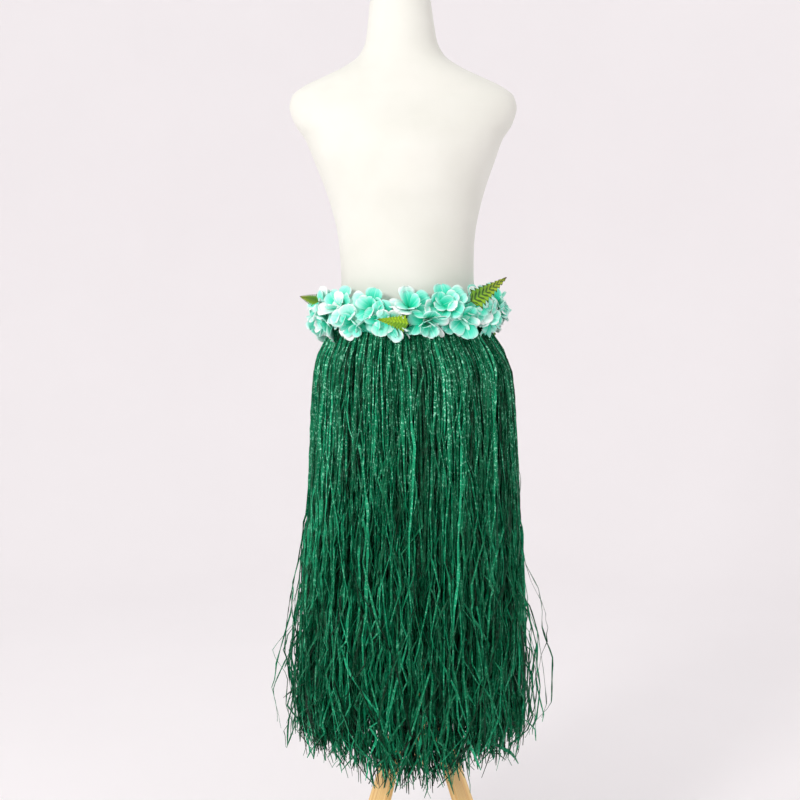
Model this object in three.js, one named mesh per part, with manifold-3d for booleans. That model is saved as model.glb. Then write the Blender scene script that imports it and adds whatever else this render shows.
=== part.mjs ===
// A raffia hula skirt with a flower garland belt, worn by a limbless dress form on a wooden stand.
// Millimetres, +Z up, +X to the wearer's left as seen from the front, -Y towards the viewer.
import * as THREE from "three";
import { mergeVertices } from "three/addons/utils/BufferGeometryUtils.js";
import Module from "manifold-3d";

const wasm = await Module();
wasm.setup();

// ---------------------------------------------------------------- driving dimensions
const SEAT = 0.3; // gap left where two pieces meet
const LEAN = 0.0265; // sideways slope of the form and its stand
const LEAN_PIVOT_Z = 959; // height where the leaning axis crosses the origin's vertical

const POST_RADIUS = 15;
const POST_SIDES = 16;
const POST_END_Z = 290;
const LEG_SPLAY = 0.42; // outward run of a leg for each millimetre of drop
const LEG_FOOT_RADIUS = 203;
const LEG_WIDTH = 26;
const LEG_THICKNESS = 18;
const LEG_COUNT = 4;

const CAP_RADIUS = 50;
const CAP_HEIGHT = 18;
const CAP_SIDES = 24;
// The cap's profile from its seat up, as shares of its height and radius.
const CAP_PROFILE = [
  { height: 0, radius: 1 },
  { height: 0.6, radius: 1 },
  { height: 0.9, radius: 0.86 },
  { height: 1, radius: 0.6 },
];

const FORM_SIDES = 28;
const BAND_GAP = 0.8; // between the form and the waistband
const BAND_WALL = 2;
const BAND_BOTTOM_Z = 1112;
const BAND_TOP_Z = 1152;
const STRIP_WALL = 3;
const STRIP_BOTTOM_Z = 1123;
const STRIP_TOP_Z = 1139;
const HOOP_SIDES = 40;

const LOCKS_PER_LAYER = 92;
const LOCK_ROOT_WIDTH = 4.2;
const LOCK_HEM_WIDTH = 6.4;
const LOCK_DEPTH = 3;
const LOCK_ROOT_DEPTH = 1.8;
const LOCK_ROOT_Z = STRIP_BOTTOM_Z + 4;
const LOCK_EXIT_Z = STRIP_BOTTOM_Z - 2; // where a lock hangs clear of its strip
const LAYER_INSET = 16; // how far the under layer hangs inside the outer one
const HEM_Z = 352;
const HEM_RAGGED = 26; // how far lock ends rise and fall about the hem
const SWAY = 0.035; // radians by which neighbouring locks lean round the skirt together
const SWAYS_AROUND = 5;
const SWAY_TURN = 4; // radians by which the sway's wave shifts from root to hem
const WANDER = 0.008; // radians by which each lock strays by itself

const CORE_RADIUS = 4;
const CORE_SIDES = 8;
const GARLAND_Z = 1133;
const FLOWERS_PER_ROW = 13;
const PETALS = 5;
const FLOWER_RADIUS = 28;
const FLOWER_WALL = 2;
const FLOWER_CUP = 12; // depth from the rim to the heart
const FLOWER_OUT = 12; // from the core's line to the back of a flower
const FLOWER_RISE = 17;
const FLOWER_TILT = 0.38; // radians by which a row looks up or down
const FLOWER_TURN = 0.5; // radians by which a flower is turned at random on its calyx
const HEART_CUP = 0.3; // share of the cup's depth at the foot of the petals
const HEART_PROUD = 1; // how far the heart stands out of the flower's floor
// Corners round one petal: pitch from its middle in petals, share of the radius at the foot
// and at the rim, and share of the cup's depth at the rim.
const PETAL_CORNERS = [
  { pitch: -0.5, inner: 0.38, outer: 0.62, curl: 0.6 },
  { pitch: -0.3, inner: 0.44, outer: 1, curl: 1 },
  { pitch: 0.3, inner: 0.44, outer: 1, curl: 1 },
];
const LEAF_WIDTH = 24;
const LEAF_WALL = 1.4;
const STALK_WIDTH = 2.4;
const STALK_SEAT = 0.76; // share of the core's radius, out and up, where a stalk ends
// Where a stalk bends, out from the core's line and up or down from it.
const STALK_BENDS = [
  { out: 20, up: 22 },
  { out: 36, up: 24 },
];
// Sections of a leaf's blade, as shares of its length and width.
const BLADE_SECTIONS = [
  { share: 0.12, width: 0.35 },
  { share: 0.35, width: 0.95 },
  { share: 0.6, width: 1 },
  { share: 0.85, width: 0.5 },
  { share: 1, width: 0.1 },
];

// The form from its bottom to the top of its neck.
const FORM_SECTIONS = [
  { z: 922, halfWidth: 136, halfDepth: 104 },
  { z: 930, halfWidth: 147, halfDepth: 115 },
  { z: 950, halfWidth: 153, halfDepth: 121 },
  { z: 980, halfWidth: 153, halfDepth: 121 },
  { z: 1012, halfWidth: 149, halfDepth: 117 },
  { z: 1045, halfWidth: 143, halfDepth: 111 },
  { z: 1078, halfWidth: 136, halfDepth: 106 },
  { z: 1110, halfWidth: 130, halfDepth: 101 },
  { z: 1155, halfWidth: 125, halfDepth: 98 },
  { z: 1204, halfWidth: 121, halfDepth: 96 },
  { z: 1258, halfWidth: 123, halfDepth: 99 },
  { z: 1290, halfWidth: 127, halfDepth: 103 },
  { z: 1322, halfWidth: 134, halfDepth: 109 },
  { z: 1360, halfWidth: 145, halfDepth: 118 },
  { z: 1414, halfWidth: 165, halfDepth: 121 },
  { z: 1450, halfWidth: 179, halfDepth: 112 },
  { z: 1480, halfWidth: 198, halfDepth: 98 },
  { z: 1508, halfWidth: 206, halfDepth: 84 },
  { z: 1528, halfWidth: 201, halfDepth: 74 },
  { z: 1545, halfWidth: 180, halfDepth: 69 },
  { z: 1562, halfWidth: 144, halfDepth: 66 },
  { z: 1580, halfWidth: 106, halfDepth: 63 },
  { z: 1600, halfWidth: 78, halfDepth: 61 },
  { z: 1625, halfWidth: 65, halfDepth: 59 },
  { z: 1655, halfWidth: 60, halfDepth: 57 },
  { z: 1697, halfWidth: 55, halfDepth: 55 },
];

// The hanging raffia's outer surface from the strip down to the hem.
const FALL_SECTIONS = [
  { z: 1123, centre: -4, halfWidth: 139, halfDepth: 111 },
  { z: 1084, centre: -2, halfWidth: 152, halfDepth: 121 },
  { z: 1055, centre: 0, halfWidth: 171, halfDepth: 137 },
  { z: 1023, centre: 2, halfWidth: 181, halfDepth: 148 },
  { z: 884, centre: 3, halfWidth: 189, halfDepth: 157 },
  { z: 603, centre: 1, halfWidth: 203, halfDepth: 173 },
  { z: 440, centre: 0, halfWidth: 207, halfDepth: 179 },
  { z: 300, centre: 0, halfWidth: 207, halfDepth: 181 },
];

// Sections of every lock below its strip: how much of its layer's inset and of its
// looseness it has there, and how much of a flyaway's reach.
const LOCK_STATIONS = [
  { z: 1078, inset: 0.38, loose: 0.15, spring: 0 },
  { z: 1010, inset: 1, loose: 1, spring: 0 },
  { z: 730, inset: 1, loose: 1, spring: 0.2 },
  { z: 480, inset: 1, loose: 1, spring: 1 },
];
const LOCK_LOOSENESS = 3.2; // how far a lock strays in or out of its layer

// Locks that spring out of the fall: heading in degrees from +X, reach beyond the fall
// near the hem, and how much of that reach is left at the lock's end.
const FLYAWAYS = [
  { heading: 176, reach: 52, endShare: 0.8 },
  { heading: 188, reach: 40, endShare: 0.45 },
  { heading: 199, reach: 26, endShare: 1.2 },
  { heading: -3, reach: 53, endShare: 0.6 },
  { heading: 9, reach: 36, endShare: 1.1 },
  { heading: -16, reach: 24, endShare: 0.7 },
  { heading: -68, reach: 26, endShare: 0.9 },
  { heading: -94, reach: 34, endShare: 0.6 },
  { heading: 60, reach: 22, endShare: 1.1 },
  { heading: 88, reach: 34, endShare: 0.6 },
  { heading: 124, reach: 24, endShare: 0.8 },
];

// Leaves of the garland: the gap between flowers that each comes out of, counted from the
// front towards +X, the row it is in (1 upper, -1 lower), the way it turns along the belt,
// how far it points up or down and outward, as directions, the blade's twist in radians, how
// much higher than the others' its blade starts, and the blade's length.
const LEAVES = [
  { gap: 0, row: -1, turn: -1, climb: 0.15, outward: 0.3, twist: 0, lift: 10, length: 56 },
  { gap: 1, row: 1, turn: 0.64, climb: 0.5, outward: 0.48, twist: 0, lift: 0, length: 76 },
  { gap: 4, row: -1, turn: 1, climb: -0.5, outward: 0.3, twist: 0, lift: 0, length: 56 },
  { gap: 5, row: 1, turn: -1, climb: 0.6, outward: 0.3, twist: 0, lift: 0, length: 56 },
  { gap: 7, row: -1, turn: -1, climb: -0.2, outward: 0.3, twist: 0, lift: 0, length: 56 },
  { gap: 8, row: 1, turn: -1, climb: 0.35, outward: 0.5, twist: 0, lift: 0, length: 56 },
  { gap: 10, row: 1, turn: 0.41, climb: 0.2, outward: 0.88, twist: 0.8, lift: 0, length: 56 },
  { gap: 9, row: -1, turn: -1, climb: -0.3, outward: 0.3, twist: 0, lift: 0, length: 56 },
];

// ---------------------------------------------------------------- materials
const finish = (color, roughness) => new THREE.MeshStandardMaterial({ color, roughness, metalness: 0 });
const FORM_CLOTH = finish(0xf0eee3, 0.75);
const WOOD = finish(0xd6b16e, 0.55);
const BAND_CLOTH = finish(0x1c5a44, 0.85);
const RAFFIA = finish(0x1f6a50, 0.45);
const RAFFIA_UNDER = finish(0x164c38, 0.5);
const PETAL = finish(0x8fd6c4, 0.7);
const LEAF = finish(0x9aa83c, 0.6);
const CORD = finish(0x2a6a58, 0.8);

// ---------------------------------------------------------------- helpers
const part = new THREE.Group();

function add(name, geometry, material) {
  const mesh = new THREE.Mesh(geometry, material);
  mesh.name = name;
  part.add(mesh);
}

// A repeatable number from -1 to 1 for item `index` of series `series`.
function scatter(index, series) {
  const wave = Math.sin(index * 12.9898 + series * 78.233) * 43758.5453;
  return 2 * (wave - Math.floor(wave)) - 1;
}

// The row of a table of sections at height z, with straight lines between its rows.
function sectionAt(table, z) {
  const rising = table[0].z < table[table.length - 1].z ? table : [...table].reverse();
  let i = 1;
  while (i < rising.length - 1 && rising[i].z < z) i += 1;
  const [low, high] = [rising[i - 1], rising[i]];
  const t = THREE.MathUtils.clamp((z - low.z) / (high.z - low.z), 0, 1);
  const mixed = {};
  for (const key of Object.keys(low)) mixed[key] = THREE.MathUtils.lerp(low[key], high[key], t);
  return mixed;
}

const leanX = (z) => LEAN * (LEAN_PIVOT_Z - z);

// A point at a heading on the form's surface at height z, moved out by `offset`.
function aroundForm(heading, z, offset) {
  const { halfWidth, halfDepth } = sectionAt(FORM_SECTIONS, z);
  return new THREE.Vector3(
    leanX(z) + (halfWidth + offset) * Math.cos(heading),
    (halfDepth + offset) * Math.sin(heading),
    z,
  );
}

// Headings that cut an ellipse into `count` stretches of equal length, from the front (-Y).
function evenHeadings(count, halfWidth, halfDepth, shift = 0) {
  const steps = 1440;
  const lengths = [0];
  for (let i = 0; i < steps; i += 1) {
    const heading = (2 * Math.PI * (i + 0.5)) / steps - Math.PI / 2;
    const speed = Math.hypot(halfWidth * Math.sin(heading), halfDepth * Math.cos(heading));
    lengths.push(lengths[i] + speed);
  }
  const headings = [];
  for (let n = 0; n < count; n += 1) {
    const wanted = (((n + shift) % count) / count) * lengths[steps];
    let i = 0;
    while (lengths[i + 1] < wanted) i += 1;
    const share = (wanted - lengths[i]) / (lengths[i + 1] - lengths[i]);
    headings.push((2 * Math.PI * (i + share)) / steps - Math.PI / 2);
  }
  return headings;
}

function geometryOf(points, triangles) {
  const geometry = new THREE.BufferGeometry();
  geometry.setAttribute("position", new THREE.Float32BufferAttribute(points.flatMap((p) => p.toArray()), 3));
  geometry.setIndex(triangles.flat());
  return geometry;
}

// A closed solid through rings of equal point counts; each ring runs counter-clockwise
// seen from the last ring's side, and the two ends are closed by fans.
function loft(rings) {
  const count = rings[0].length;
  const triangles = [];
  for (let r = 0; r < rings.length - 1; r += 1) {
    for (let i = 0; i < count; i += 1) {
      const j = (i + 1) % count;
      const [a, b] = [r * count + i, r * count + j];
      triangles.push([a, b, b + count], [a, b + count, a + count]);
    }
  }
  const last = (rings.length - 1) * count;
  for (let i = 1; i < count - 1; i += 1) {
    triangles.push([0, i + 1, i], [last, last + i, last + i + 1]);
  }
  return geometryOf(rings.flat(), triangles);
}

// A closed ring solid: `sectionPoint(heading, corner)` gives each corner of its section,
// corners running clockwise in the plane of (outward, up).
function hoop(sides, corners, sectionPoint) {
  const points = [];
  const triangles = [];
  for (let s = 0; s < sides; s += 1) {
    for (let c = 0; c < corners; c += 1) {
      points.push(sectionPoint((2 * Math.PI * s) / sides, c));
      const [next, down] = [(s + 1) % sides, (c + 1) % corners];
      const [a, b] = [s * corners + c, next * corners + c];
      const [d, e] = [s * corners + down, next * corners + down];
      triangles.push([a, d, e], [a, e, b]);
    }
  }
  return geometryOf(points, triangles);
}

function toSolid(geometry) {
  const bare = geometry.clone();
  bare.deleteAttribute("normal");
  bare.deleteAttribute("uv");
  const merged = mergeVertices(bare);
  const mesh = new wasm.Mesh({
    numProp: 3,
    vertProperties: new Float32Array(merged.attributes.position.array),
    triVerts: new Uint32Array(merged.index.array),
  });
  return new wasm.Manifold(mesh);
}

function toGeometry(solid) {
  const mesh = solid.getMesh();
  const geometry = new THREE.BufferGeometry();
  geometry.setAttribute("position", new THREE.BufferAttribute(mesh.vertProperties, 3));
  geometry.setIndex(new THREE.BufferAttribute(mesh.triVerts, 1));
  return geometry;
}

// ---------------------------------------------------------------- dress form and stand
function formTorso() {
  const rings = FORM_SECTIONS.map(({ z }) =>
    Array.from({ length: FORM_SIDES }, (_, i) => aroundForm((2 * Math.PI * i) / FORM_SIDES, z, 0)),
  );
  return loft(rings);
}

// A round solid on the leaning axis through rows of { z, radius }.
function turned(rows, sides) {
  const rings = rows.map(({ z, radius }) =>
    Array.from({ length: sides }, (_, i) => {
      const heading = (2 * Math.PI * (i + 0.5)) / sides;
      return new THREE.Vector3(leanX(z) + radius * Math.cos(heading), radius * Math.sin(heading), z);
    }),
  );
  return loft(rings);
}

function neckCap() {
  const bottom = FORM_SECTIONS[FORM_SECTIONS.length - 1].z + SEAT;
  return turned(
    CAP_PROFILE.map(({ height, radius }) => ({
      z: bottom + height * CAP_HEIGHT,
      radius: radius * CAP_RADIUS,
    })),
    CAP_SIDES,
  );
}

function standPost() {
  return turned(
    [
      { z: POST_END_Z, radius: POST_RADIUS },
      { z: FORM_SECTIONS[0].z - SEAT, radius: POST_RADIUS },
    ],
    POST_SIDES,
  );
}

// A board whose upper end is cut upright against the post and whose foot is cut level.
function standLeg(heading) {
  const half = LEG_THICKNESS / 2 / Math.cos(Math.atan(LEG_SPLAY));
  const seat = POST_RADIUS * Math.cos(Math.PI / POST_SIDES) + SEAT;
  const heightAt = (radius) => (LEG_FOOT_RADIUS - radius) / LEG_SPLAY;
  const profile = [
    { radius: LEG_FOOT_RADIUS - half, z: 0 },
    { radius: LEG_FOOT_RADIUS + half, z: 0 },
    { radius: seat, z: heightAt(seat - half) },
    { radius: seat, z: heightAt(seat + half) },
  ];
  const side = (across) =>
    profile.map(({ radius, z }) => {
      const point = new THREE.Vector3(radius, across, z);
      point.applyAxisAngle(new THREE.Vector3(0, 0, 1), heading);
      point.x += leanX(z);
      return point;
    });
  return loft([side(LEG_WIDTH / 2), side(-LEG_WIDTH / 2)]);
}

// ---------------------------------------------------------------- waistband and raffia
// A flat band round the form, from offset `inner` to `inner + wall`.
function band(inner, wall, bottom, top) {
  const corners = [
    [inner, bottom],
    [inner, top],
    [inner + wall, top],
    [inner + wall, bottom],
  ];
  return hoop(HOOP_SIDES, corners.length, (heading, c) => aroundForm(heading, corners[c][1], corners[c][0]));
}

// A point of the raffia's outer surface, moved out by `offset`.
function onFall(heading, z, offset) {
  const { centre, halfWidth, halfDepth } = sectionAt(FALL_SECTIONS, z);
  return new THREE.Vector3(
    centre + (halfWidth + offset) * Math.cos(heading),
    (halfDepth + offset) * Math.sin(heading),
    z,
  );
}

// How far the lock at a heading springs out of the fall, as its row of FLYAWAYS or nothing.
function flyaway(heading, pitch) {
  return FLYAWAYS.find((row) => {
    const turn = heading - THREE.MathUtils.degToRad(row.heading);
    return Math.abs(Math.atan2(Math.sin(turn), Math.cos(turn))) <= pitch / 2;
  });
}

// The three corners of a lock's section about `centre`, at a heading.
function lockSection(centre, heading, width, depth) {
  const along = new THREE.Vector3(-Math.sin(heading), Math.cos(heading), 0);
  const out = new THREE.Vector3(Math.cos(heading), Math.sin(heading), 0);
  return [
    centre.clone().addScaledVector(along, -width / 2).addScaledVector(out, depth / 3),
    centre.clone().addScaledVector(out, (-2 * depth) / 3),
    centre.clone().addScaledVector(along, width / 2).addScaledVector(out, depth / 3),
  ];
}

// One three-sided lock: `root` is its heading, `inset` its layer's depth inside the fall.
function lock(root, index, series, stripOffset, inset) {
  const wild = inset === 0 ? flyaway(root, (2 * Math.PI) / LOCKS_PER_LAYER) : undefined;
  const rings = [LOCK_ROOT_Z, LOCK_EXIT_Z].map((z) =>
    lockSection(aroundForm(root, z, stripOffset + STRIP_WALL / 2), root, LOCK_ROOT_WIDTH, LOCK_ROOT_DEPTH),
  );
  const end = {
    z: HEM_Z + HEM_RAGGED * scatter(index, series),
    inset: 1,
    loose: 1,
    spring: wild ? wild.endShare : 0,
  };
  [...LOCK_STATIONS, end].forEach((station, level) => {
    const fallen = (LOCK_ROOT_Z - station.z) / (LOCK_ROOT_Z - HEM_Z);
    const sway = SWAY * Math.sin(SWAYS_AROUND * root + SWAY_TURN * fallen);
    const drift = sway + WANDER * scatter(index, series + level);
    const heading = root + drift * fallen;
    const stray = LOCK_LOOSENESS * station.loose * scatter(index, series + 7 * level);
    const spring = wild ? wild.reach * station.spring : 0;
    const offset = stray + spring - inset * station.inset - LOCK_DEPTH;
    const width = THREE.MathUtils.lerp(LOCK_ROOT_WIDTH, LOCK_HEM_WIDTH, fallen);
    rings.push(lockSection(onFall(heading, station.z, offset), heading, width, LOCK_DEPTH));
  });
  return toSolid(loft(rings));
}

// A layer of raffia: a narrow strip round the waistband and the locks whose roots it holds.
function raffiaLayer(stripOffset, inset, series, shift) {
  const { halfWidth, halfDepth } = sectionAt(FORM_SECTIONS, STRIP_BOTTOM_Z);
  const roots = evenHeadings(LOCKS_PER_LAYER, halfWidth, halfDepth, shift);
  let solid = toSolid(band(stripOffset, STRIP_WALL, STRIP_BOTTOM_Z, STRIP_TOP_Z));
  roots.forEach((root, index) => {
    solid = solid.add(lock(root, index, series, stripOffset, inset));
  });
  return toGeometry(solid);
}

// ---------------------------------------------------------------- garland
const UNDER_STRIP = BAND_GAP + BAND_WALL + SEAT;
const OUTER_STRIP = UNDER_STRIP + STRIP_WALL + SEAT;
const CORE_OFFSET = OUTER_STRIP + STRIP_WALL + SEAT + CORE_RADIUS;

function garlandCore() {
  return hoop(HOOP_SIDES, CORE_SIDES, (heading, c) => {
    const turn = (-2 * Math.PI * c) / CORE_SIDES;
    const offset = CORE_OFFSET + CORE_RADIUS * Math.cos(turn);
    const onForm = aroundForm(heading, GARLAND_Z, offset);
    onForm.z += CORE_RADIUS * Math.sin(turn);
    return onForm;
  });
}

// Directions at a heading of the garland: out of the belt, along it and up.
function beltFrame(heading) {
  const { halfWidth, halfDepth } = sectionAt(FORM_SECTIONS, GARLAND_Z);
  const out = new THREE.Vector3(
    (halfDepth + CORE_OFFSET) * Math.cos(heading),
    (halfWidth + CORE_OFFSET) * Math.sin(heading),
    0,
  ).normalize();
  const up = new THREE.Vector3(0, 0, 1);
  const along = new THREE.Vector3().crossVectors(up, out);
  const origin = aroundForm(heading, GARLAND_Z, CORE_OFFSET);
  return { origin, out, along, up };
}

function garlandHeadings(count, shift) {
  const { halfWidth, halfDepth } = sectionAt(FORM_SECTIONS, GARLAND_Z);
  return evenHeadings(count, halfWidth + CORE_OFFSET, halfDepth + CORE_OFFSET, shift);
}

// A cupped bloom of five petals on a short calyx that ends at the core.
function flower(heading, row, turn) {
  const { origin, out, along, up } = beltFrame(heading);
  const face = out.clone().multiplyScalar(Math.cos(FLOWER_TILT)).addScaledVector(up, row * Math.sin(FLOWER_TILT));
  const rise = new THREE.Vector3().crossVectors(face, along);
  const heart = origin.clone().addScaledVector(out, FLOWER_OUT).addScaledVector(up, row * FLOWER_RISE);
  const place = (radius, angle, depth) =>
    heart
      .clone()
      .addScaledVector(along, radius * Math.cos(angle))
      .addScaledVector(rise, radius * Math.sin(angle))
      .addScaledVector(face, depth);
  const rings = { innerFront: [], rimFront: [], rimBack: [], innerBack: [] };
  for (let petal = 0; petal < PETALS; petal += 1) {
    for (const corner of PETAL_CORNERS) {
      const angle = turn + (2 * Math.PI * (petal + corner.pitch)) / PETALS;
      const inner = corner.inner * FLOWER_RADIUS;
      const outer = corner.outer * FLOWER_RADIUS;
      rings.innerFront.push(place(inner, angle, HEART_CUP * FLOWER_CUP + FLOWER_WALL));
      rings.rimFront.push(place(outer, angle, corner.curl * FLOWER_CUP + FLOWER_WALL));
      rings.rimBack.push(place(outer, angle, corner.curl * FLOWER_CUP));
      rings.innerBack.push(place(inner, angle, HEART_CUP * FLOWER_CUP));
    }
  }
  const toCore = heart.clone().sub(origin).normalize();
  const calyxEnd = origin.clone().addScaledVector(toCore, CORE_RADIUS + SEAT);
  const heartFront = place(0, 0, FLOWER_WALL + HEART_PROUD);
  const points = [...rings.innerFront, ...rings.rimFront, ...rings.rimBack, ...rings.innerBack, heartFront, calyxEnd];
  const count = PETALS * PETAL_CORNERS.length;
  const triangles = [];
  for (let i = 0; i < count; i += 1) {
    const j = (i + 1) % count;
    for (let r = 0; r < 3; r += 1) {
      const [a, b] = [r * count + i, r * count + j];
      triangles.push([a, a + count, b + count], [a, b + count, b]);
    }
    triangles.push([4 * count, i, j], [4 * count + 1, 3 * count + j, 3 * count + i]);
  }
  return geometryOf(points, triangles);
}

// A lance-shaped blade on a thin stalk that leaves the core between two flowers.
function leaf(heading, { row, turn, climb, outward, twist, lift, length }) {
  const { origin, out, along, up } = beltFrame(heading);
  const at = (outStep, upStep) => origin.clone().addScaledVector(out, outStep).addScaledVector(up, row * upStep);
  const seat = STALK_SEAT * (CORE_RADIUS + SEAT);
  const stalk = [at(seat, seat), ...STALK_BENDS.map((bend) => at(bend.out, bend.up))];
  stalk[stalk.length - 1].addScaledVector(up, lift);
  const way = along
    .clone()
    .multiplyScalar(turn)
    .addScaledVector(up, climb)
    .addScaledVector(out, outward)
    .normalize();
  const bend = out.clone().add(way).normalize();
  const spots = [
    ...stalk.map((centre, i) => ({ centre, width: STALK_WIDTH, towards: i < stalk.length - 1 ? out : bend })),
    ...BLADE_SECTIONS.map(({ share, width }) => ({
      centre: stalk[stalk.length - 1].clone().addScaledVector(way, share * length),
      width: width * LEAF_WIDTH,
      towards: way,
    })),
  ];
  const across = new THREE.Vector3().crossVectors(way, out).normalize().applyAxisAngle(way, twist);
  const rings = spots.map(({ centre, width, towards }) => {
    const side = across.clone().projectOnPlane(towards).normalize();
    const normal = new THREE.Vector3().crossVectors(side, towards);
    return [
      centre.clone().addScaledVector(side, -width / 2),
      centre.clone().addScaledVector(normal, LEAF_WALL / 2),
      centre.clone().addScaledVector(side, width / 2),
      centre.clone().addScaledVector(normal, -LEAF_WALL / 2),
    ];
  });
  return loft(rings);
}

// ---------------------------------------------------------------- assembly
add("form_torso", formTorso(), FORM_CLOTH);
add("form_neck_cap", neckCap(), WOOD);
add("stand_post", standPost(), WOOD);
for (let n = 0; n < LEG_COUNT; n += 1) {
  add(`stand_leg_${n + 1}`, standLeg((2 * Math.PI * (n + 0.5)) / LEG_COUNT), WOOD);
}
add("waistband", band(BAND_GAP, BAND_WALL, BAND_BOTTOM_Z, BAND_TOP_Z), BAND_CLOTH);
add("raffia_under", raffiaLayer(UNDER_STRIP, LAYER_INSET, 1, 0.5), RAFFIA_UNDER);
add("raffia_outer", raffiaLayer(OUTER_STRIP, 0, 2, 0), RAFFIA);
add("garland_core", garlandCore(), CORD);
for (const [label, row, shift] of [["upper", 1, 0], ["lower", -1, 0.5]]) {
  garlandHeadings(FLOWERS_PER_ROW, shift).forEach((heading, n) => {
    const name = `flower_${label}_${String(n + 1).padStart(2, "0")}`;
    add(name, flower(heading, row, FLOWER_TURN * scatter(n, 3 + row)), PETAL);
  });
}
LEAVES.forEach((spray, n) => {
  const shift = spray.gap + (spray.row > 0 ? 0.5 : 0);
  const [heading] = garlandHeadings(FLOWERS_PER_ROW, shift);
  add(`leaf_${n + 1}`, leaf(heading, spray), LEAF);
});

export default part;
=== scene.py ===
"""A raffia hula skirt with a silk flower garland for a belt, on a dress form and its wooden stand.

Metres, +Z up, -Y towards the camera. Every shape is worked out as whole numpy arrays on grids.
"""

import math

import bpy
import numpy as np
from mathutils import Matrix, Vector


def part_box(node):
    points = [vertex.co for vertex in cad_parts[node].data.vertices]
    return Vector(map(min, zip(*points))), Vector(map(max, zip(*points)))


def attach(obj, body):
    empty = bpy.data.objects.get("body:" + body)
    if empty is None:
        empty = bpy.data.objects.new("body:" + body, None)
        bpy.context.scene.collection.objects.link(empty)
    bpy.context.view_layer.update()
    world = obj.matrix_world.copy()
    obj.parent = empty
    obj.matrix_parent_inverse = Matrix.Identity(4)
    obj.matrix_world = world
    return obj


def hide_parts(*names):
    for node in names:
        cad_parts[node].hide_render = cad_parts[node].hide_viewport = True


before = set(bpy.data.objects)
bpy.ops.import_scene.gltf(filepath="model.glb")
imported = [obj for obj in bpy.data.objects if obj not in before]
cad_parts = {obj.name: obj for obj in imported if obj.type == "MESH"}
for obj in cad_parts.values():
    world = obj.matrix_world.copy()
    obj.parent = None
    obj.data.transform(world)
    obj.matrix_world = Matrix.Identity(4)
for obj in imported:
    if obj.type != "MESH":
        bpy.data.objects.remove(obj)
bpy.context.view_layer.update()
TURN = 2 * math.pi
UP = np.array([0.0, 0.0, 1.0])

# ---------- sizes
LEAN = 0.0265  # sideways slope of the form and its stand
LEAN_PIVOT_Z = 0.959

# The form from its bottom to the top of its neck.
FORM = {
    "z": [0.922, 0.930, 0.950, 0.980, 1.012, 1.045, 1.078, 1.110, 1.155, 1.204, 1.258, 1.290, 1.322,
          1.360, 1.414, 1.450, 1.480, 1.508, 1.528, 1.545, 1.562, 1.580, 1.600, 1.625, 1.655, 1.697],
    "half_width": [0.136, 0.147, 0.153, 0.153, 0.149, 0.143, 0.136, 0.130, 0.125, 0.121, 0.123, 0.127,
                   0.134, 0.145, 0.165, 0.179, 0.198, 0.206, 0.201, 0.180, 0.144, 0.106, 0.078, 0.065,
                   0.060, 0.055],
    "half_depth": [0.104, 0.115, 0.121, 0.121, 0.117, 0.111, 0.106, 0.101, 0.098, 0.096, 0.099, 0.103,
                   0.109, 0.118, 0.121, 0.112, 0.098, 0.084, 0.074, 0.069, 0.066, 0.063, 0.061, 0.059,
                   0.057, 0.055],
}
# The hanging raffia's outer surface, and the room for raffia inside it.
FALL = {
    "z": [0.300, 0.440, 0.603, 0.884, 1.023, 1.055, 1.084, 1.123, 1.140],
    "centre": [0.000, 0.000, 0.003, 0.006, 0.005, 0.002, -0.001, -0.004, -0.0048],
    "half_width": [0.198, 0.202, 0.200, 0.187, 0.179, 0.171, 0.156, 0.139, 0.136],
    "half_depth": [0.183, 0.181, 0.174, 0.158, 0.149, 0.140, 0.126, 0.111, 0.108],
    "room": [0.050, 0.048, 0.042, 0.033, 0.028, 0.025, 0.018, 0.007, 0.006],
}
LEG_COUNT = 4
LEG_SPLAY = 0.42  # outward run for each metre of drop
LEG_FOOT_RADIUS = 0.203
LEG_TOP_RADIUS = 0.0153
LEG_WIDTH = 0.026
LEG_THICKNESS = 0.018
LEG_ROUND = 0.004  # radius of a board's long edges
BAND_GAP = 0.0008  # between the form and the elastic
BAND_WALL = 0.002
BAND_WIDTH = 0.040
BAND_BOTTOM = 1.112
BAND_TOP = BAND_BOTTOM + BAND_WIDTH
BAND_RADIUS = 0.119  # mean, for the scale of the ribs
STRIP_WALL = 0.003
SEAT = 0.0003
STRIP_BOTTOM = 1.123
STRIP_TOP = 1.139
UNDER_STRIP = BAND_GAP + BAND_WALL + SEAT
OUTER_STRIP = UNDER_STRIP + STRIP_WALL + SEAT
ROOT_Z = 1.134  # where strands leave their strip
SHORTEST_END_Z = 0.292
ROOT_ELLIPSE = (0.137, 0.109)  # half width and half depth where they do
STRAND_WIDTH = (0.0024, 0.0046)
STRAY_WIDTH = (0.0019, 0.0032)
FILM_WIDTH = 0.003  # for the scale of the crinkles
FILM_THICKNESS = 0.26  # of a strand's width
KINK_CHANCE = 0.32  # at each station of a strand
SIDE_PULL = 2.5  # how strongly a kinked strand is drawn back to its line, sideways
OUT_PULL = 4.0  # and in or out
PAINTED_SHADE_DEPTH = 0.13  # share of the room over which painted shade darkens deeper strands; those within it are painted lightest
FALL_ROOM = (0.012, 0.010)  # how far past the fall a strand may reach at the sides and in front
STRAY_ROOM = (0.062, 0.030)

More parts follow.
